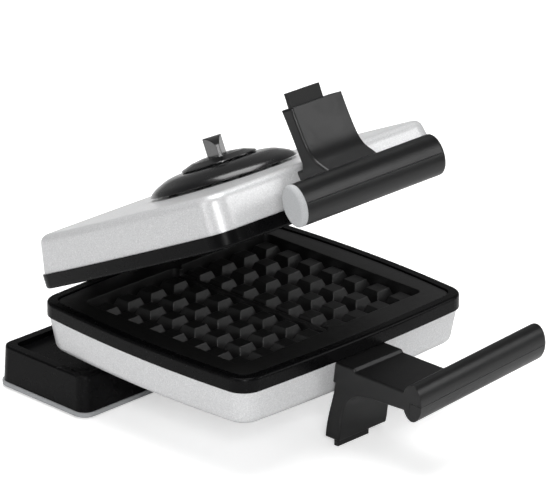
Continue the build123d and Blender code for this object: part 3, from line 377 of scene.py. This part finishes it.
@dataclass(frozen=True)
class NonStick:
    """Black baked coating on cast aluminium, polished a little where food is pressed."""

    name: str
    colour: Colour
    rubbed_colour: Colour
    roughness: float = 0.36
    rub: float = 0.14
    edge_share: float = 0.55
    depth: float = 0.00008

    def make(self, effects: Effects) -> bpy.types.Material:
        """Builds the material from the shared effects."""
        material, writer, shader = new_material(self.name)
        grain = effects.grain.place(writer, Grain=700.0, Swell=60.0, Swell_Share=0.6)
        edges = effects.edges.place(writer, Radius=0.0012, Scuff=220.0)
        marks = effects.marks.place(writer, Patch=18.0)
        deeper = tuple(DEEPER_COATING * part for part in self.colour)
        base = writer.colours(grain.outputs["Speckle"], deeper, self.colour)
        edge = writer.maths("MULTIPLY", edges.outputs["Edge"], self.edge_share)
        writer.wire(writer.colours(edge, base, self.rubbed_colour), shader.inputs["Base Color"])
        rough = self.roughness
        gloss = writer.ramp(marks.outputs["Mask"], 0.0, 1.0, rough, rough + self.rub)
        writer.wire(gloss, shader.inputs["Roughness"])
        bump(writer, shader, grain.outputs["Height"], self.depth, edges.outputs["Normal"])
        return material


@dataclass(frozen=True)
class BareMetal:
    """Turned, rolled or sintered metal."""

    name: str
    colour: Colour
    stained_colour: Colour
    roughness: float = 0.28
    along: tuple[float, float, float] = (40.0, 900.0, 900.0)
    depth: float = 0.00002
    edge_radius: float = 0.0004
    stain: float = 0.5
    rub: float = 0.15

    def make(self, effects: Effects) -> bpy.types.Material:
        """Builds the material from stretched scratches and the shared effects."""
        material, writer, shader = new_material(self.name)
        place = writer.add("ShaderNodeTexCoord")
        stretch = writer.add("ShaderNodeMapping")
        writer.wire(place.outputs["Object"], stretch.inputs["Vector"])
        stretch.inputs["Scale"].default_value = self.along
        scratch = writer.add("ShaderNodeTexNoise")
        writer.wire(stretch.outputs["Vector"], scratch.inputs["Vector"])
        scratch.inputs["Scale"].default_value = 1.0
        scratch.inputs["Detail"].default_value = 3.0
        edges = effects.edges.place(writer, Radius=self.edge_radius)
        marks = effects.marks.place(writer, Patch=60.0)
        stain = writer.maths("MULTIPLY", marks.outputs["Mask"], self.stain)
        base = writer.colours(stain, self.colour, self.stained_colour)
        writer.wire(base, shader.inputs["Base Color"])
        rough = self.roughness
        gloss = writer.ramp(scratch.outputs["Fac"], 0.3, 0.7, rough, rough + self.rub)
        writer.wire(gloss, shader.inputs["Roughness"])
        shader.inputs["Metallic"].default_value = 1.0
        bump(writer, shader, scratch.outputs["Fac"], self.depth, edges.outputs["Normal"])
        return material


class Finishes:
    """Every finish of the object, made once."""

    def __init__(self) -> None:
        """Makes the shared effects and the materials."""
        effects = Effects(FineGrain(), WornEdges(), HandlingMarks())
        recipes = (
            MouldedPlastic(
                "satin_black", (0.003, 0.003, 0.0033), (0.02, 0.02, 0.021), 0.26, shine=0.1
            ),
            MouldedPlastic(
                "handle_black",
                (0.004, 0.004, 0.0043),
                (0.03, 0.03, 0.032),
                0.34,
                grain=2200.0,
                shine=0.45,
            ),
            MouldedPlastic("matte_black", (0.02, 0.02, 0.02), (0.06, 0.06, 0.06), 0.6),
            MouldedPlastic(
                "gloss_black",
                (0.004, 0.004, 0.0045),
                (0.02, 0.02, 0.022),
                0.24,
                0.06,
                depth=0.00001,
                shine=0.6,
                coating=Coating.THIN,
            ),
            MouldedPlastic("bottom_grey", (0.42, 0.43, 0.44), (0.6, 0.6, 0.6), 0.5),
            MouldedPlastic("cap_grey", (0.52, 0.53, 0.54), (0.7, 0.7, 0.7), 0.42),
            MouldedPlastic("terminal_white", (0.75, 0.75, 0.72), (0.82, 0.82, 0.8), 0.5),
            MouldedPlastic(
                "foot_rubber", (0.025, 0.025, 0.025), (0.09, 0.09, 0.09), 0.75, depth=0.0001
            ),
            MetallicPaint(
                "silver_paint", (0.7, 0.703, 0.71), (0.61, 0.613, 0.62), (0.82, 0.823, 0.83)
            ),
            NonStick("nonstick", (0.009, 0.009, 0.009), (0.05, 0.049, 0.048)),
            BareMetal("satin_steel", (0.56, 0.56, 0.57), (0.36, 0.35, 0.34)),
            BareMetal("heater_steel", (0.3, 0.29, 0.28), (0.16, 0.14, 0.13), 0.4),
            BareMetal("bright_sheet", (0.78, 0.79, 0.8), (0.6, 0.6, 0.6), 0.18),
            BareMetal("bush_bronze", (0.55, 0.38, 0.2), (0.3, 0.2, 0.11), 0.38),
        )
        self.made = {recipe.name: recipe.make(effects) for recipe in recipes}

    def dress(self, node: str, finish: str) -> None:
        """Gives a CAD node its finish.

        Args:
            node: the CAD node's name.
            finish: the finish's name.
        """
        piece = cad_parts[node]
        piece.data.materials.clear()
        piece.data.materials.append(self.made[finish])
        for face in piece.data.polygons:
            face.material_index = 0
        LOG.info("%s in %s", node, finish)


@dataclass
class Dressed:
    """A sub-assembly whose CAD nodes each take one finish."""

    looks: dict[str, str] = field(default_factory=dict)

    def build(self, finishes: Finishes) -> None:
        """Dresses every node of the sub-assembly."""
        for node, finish in self.looks.items():
            finishes.dress(node, finish)


@dataclass
class Base(Dressed):
    """The low box on the table, with its bottom plate, feet, gland and bearing bush."""

    looks: dict[str, str] = field(
        default_factory=lambda: {
            "base_housing": "satin_black",
            "base_plate": "bottom_grey",
            "base_feet": "foot_rubber",
            "base_screws": "satin_steel",
            "post_bush": "bush_bronze",
            "cord_gland": "matte_black",
            "terminal_block": "terminal_white",
        }
    )


@dataclass
class SwivelPost(Dressed):
    """The post that turns in the base and carries the tilt pin."""

    looks: dict[str, str] = field(
        default_factory=lambda: {
            "swivel_post": "satin_steel",
            "tilt_pin": "satin_steel",
            "retaining_ring": "heater_steel",
        }
    )


HALF_LOOKS = {
    "casing": "silver_paint",
    "rim": "satin_black",
    "grid_plate": "nonstick",
    "heater": "heater_steel",
    "reflector": "bright_sheet",
    "plate_screws": "satin_steel",
    "hinge_brackets": "satin_steel",
    "hinge_screws": "satin_steel",
    "handle": "handle_black",
    "grip_cover": "handle_black",
    "grip_screws": "satin_steel",
    "foot": "foot_rubber",
    "handle_screws": "satin_steel",
}


@dataclass
class CookingHalf(Dressed):
    """One half of the iron: casing, rim, plate, heater, brackets and handle."""

    side: str = "lower"
    extra: dict[str, str] = field(default_factory=dict)

    def __post_init__(self) -> None:
        """Names the half's nodes."""
        self.looks = {f"{self.side}_{name}": finish for name, finish in HALF_LOOKS.items()}
        self.looks.update(self.extra)


@dataclass
class Knob(Dressed):
    """The thermostat knob and its shaft."""

    looks: dict[str, str] = field(
        default_factory=lambda: {
            "thermostat_knob": "gloss_black",
            "thermostat_shaft": "satin_steel",
        }
    )


@dataclass(frozen=True)
class Lamp:
    """A square soft lamp: its place and side in metres and its power in watts."""

    name: str
    at: tuple[float, float, float]
    size: float
    power: float


@dataclass
class Studio:
    """Floor, world, lamps and the camera at the photograph's place."""

    camera_at: tuple[float, float, float] = (-2.25341, -2.26427, 1.43245)
    azimuth: float = -45.17
    elevation: float = 22.26
    lens: float = 283.4
    sensor: float = 36.0
    sees_to: float = 100.0
    floor_half: float = 12.0
    floor_colour: Colour = (0.9, 0.9, 0.9)
    floor_glow: float = 0.5
    floor_roughness: float = 0.5
    floor_shine: float = 0.2
    world_level: float = 0.25
    overhead_share: float = 0.35
    overhead_from: float = 0.9
    aim: tuple[float, float, float] = (0.0, 0.0, 0.1)
    lamps: tuple[Lamp, ...] = (
        Lamp("overhead", (0.2, 0.3, 2.2), 1.6, 42.0),
        Lamp("key", (-1.4, -1.8, 1.3), 0.7, 26.0),
        Lamp("right_front", (1.6, -1.6, 1.2), 1.0, 10.0),
        Lamp("left", (-2.0, 0.4, 1.0), 1.0, 6.0),
    )

    def camera(self) -> None:
        """Places the level camera."""
        data = bpy.data.cameras.new("camera")
        data.lens = self.lens
        data.sensor_width = self.sensor
        data.clip_end = self.sees_to
        camera = bpy.data.objects.new("camera", data)
        bpy.context.scene.collection.objects.link(camera)
        turn, rise = math.radians(self.azimuth), math.radians(self.elevation)
        back = Vector(
            (math.sin(turn) * math.cos(rise), -math.cos(turn) * math.cos(rise), math.sin(rise))
        )
        camera.location = self.camera_at
        camera.rotation_mode = "QUATERNION"
        camera.rotation_quaternion = (-back).to_track_quat("-Z", "Y")
        bpy.context.scene.camera = camera

    def floor(self) -> None:
        """Lays a plain white floor that keeps the shadow."""
        half = self.floor_half
        mesh = bpy.data.meshes.new("floor")
        corners = [(-half, -half, 0), (half, -half, 0), (half, half, 0), (-half, half, 0)]
        mesh.from_pydata(corners, [], [(0, 1, 2, 3)])
        floor = bpy.data.objects.new("floor", mesh)
        bpy.context.scene.collection.objects.link(floor)
        material, writer, shader = new_material("floor_white")
        shader.inputs["Base Color"].default_value = (*self.floor_colour, 1.0)
        shader.inputs["Roughness"].default_value = self.floor_roughness
        shader.inputs["Specular IOR Level"].default_value = self.floor_shine
        shader.inputs["Emission Color"].default_value = (1.0, 1.0, 1.0, 1.0)
        path = writer.add("ShaderNodeLightPath")
        writer.wire(
            writer.maths("MULTIPLY", path.outputs["Is Camera Ray"], self.floor_glow),
            shader.inputs["Emission Strength"],
        )
        mesh.materials.append(material)

    def world(self) -> None:
        """A surrounding that is white to the camera and dimmer in reflections, most so overhead."""
        world = bpy.data.worlds.new("studio")
        bpy.context.scene.world = world
        world.use_nodes = True
        world.node_tree.nodes.clear()
        writer = NodeWriter(world.node_tree)
        place = writer.add("ShaderNodeTexCoord")
        split = writer.add("ShaderNodeSeparateXYZ")
        writer.wire(place.outputs["Generated"], split.inputs[0])
        level = writer.ramp(
            split.outputs["Z"], 0.0, self.overhead_from, 1.0, self.overhead_share
        )
        path = writer.add("ShaderNodeLightPath")
        direct, through = path.outputs["Is Camera Ray"], path.outputs["Is Transmission Ray"]
        seen = writer.maths("ADD", direct, through)
        strength = writer.maths("MAXIMUM", writer.maths("MULTIPLY", level, self.world_level), seen)
        light = writer.add("ShaderNodeBackground")
        light.inputs["Color"].default_value = (1.0, 1.0, 1.0, 1.0)
        writer.wire(strength, light.inputs["Strength"])
        output = writer.add("ShaderNodeOutputWorld")
        writer.wire(light.outputs["Background"], output.inputs["Surface"])

    def hang(self, lamp: Lamp) -> None:
        """Hangs a lamp that faces the iron."""
        data = bpy.data.lights.new(lamp.name, "AREA")
        data.shape = "SQUARE"
        data.size = lamp.size
        data.energy = lamp.power
        hung = bpy.data.objects.new(lamp.name, data)
        bpy.context.scene.collection.objects.link(hung)
        hung.location = lamp.at
        beam = Vector(self.aim) - Vector(lamp.at)
        hung.rotation_mode = "QUATERNION"
        hung.rotation_quaternion = beam.to_track_quat("-Z", "Y")

    def build(self) -> None:
        """Builds the studio."""
        self.camera()
        self.floor()
        self.world()
        for lamp in self.lamps:
            self.hang(lamp)
        bpy.context.scene.view_settings.view_transform = "Standard"
        LOG.info("studio ready")


def main() -> None:
    """Builds the studio and dresses the object, sub-assembly by sub-assembly."""
    logging.basicConfig(level=logging.INFO)
    Studio().build()
    finishes = Finishes()
    upper_extra = {
        "grip_end_cap": "cap_grey",
        "vent_dome": "gloss_black",
        "dome_standoffs": "matte_black",
        "thermostat_body": "matte_black",
    }
    parts = (
        Base(),
        SwivelPost(),
        CookingHalf(
            side="lower",
            extra={name: "satin_steel" for name in ("hinge_tee", "hinge_clips", "ear_pins")},
        ),
        Dressed({"hinge_bushes": "bush_bronze"}),
        CookingHalf(side="upper", extra=upper_extra),
        Knob(),
    )
    for part in parts:
        part.build(finishes)


if __name__ == "__main__":
    main()
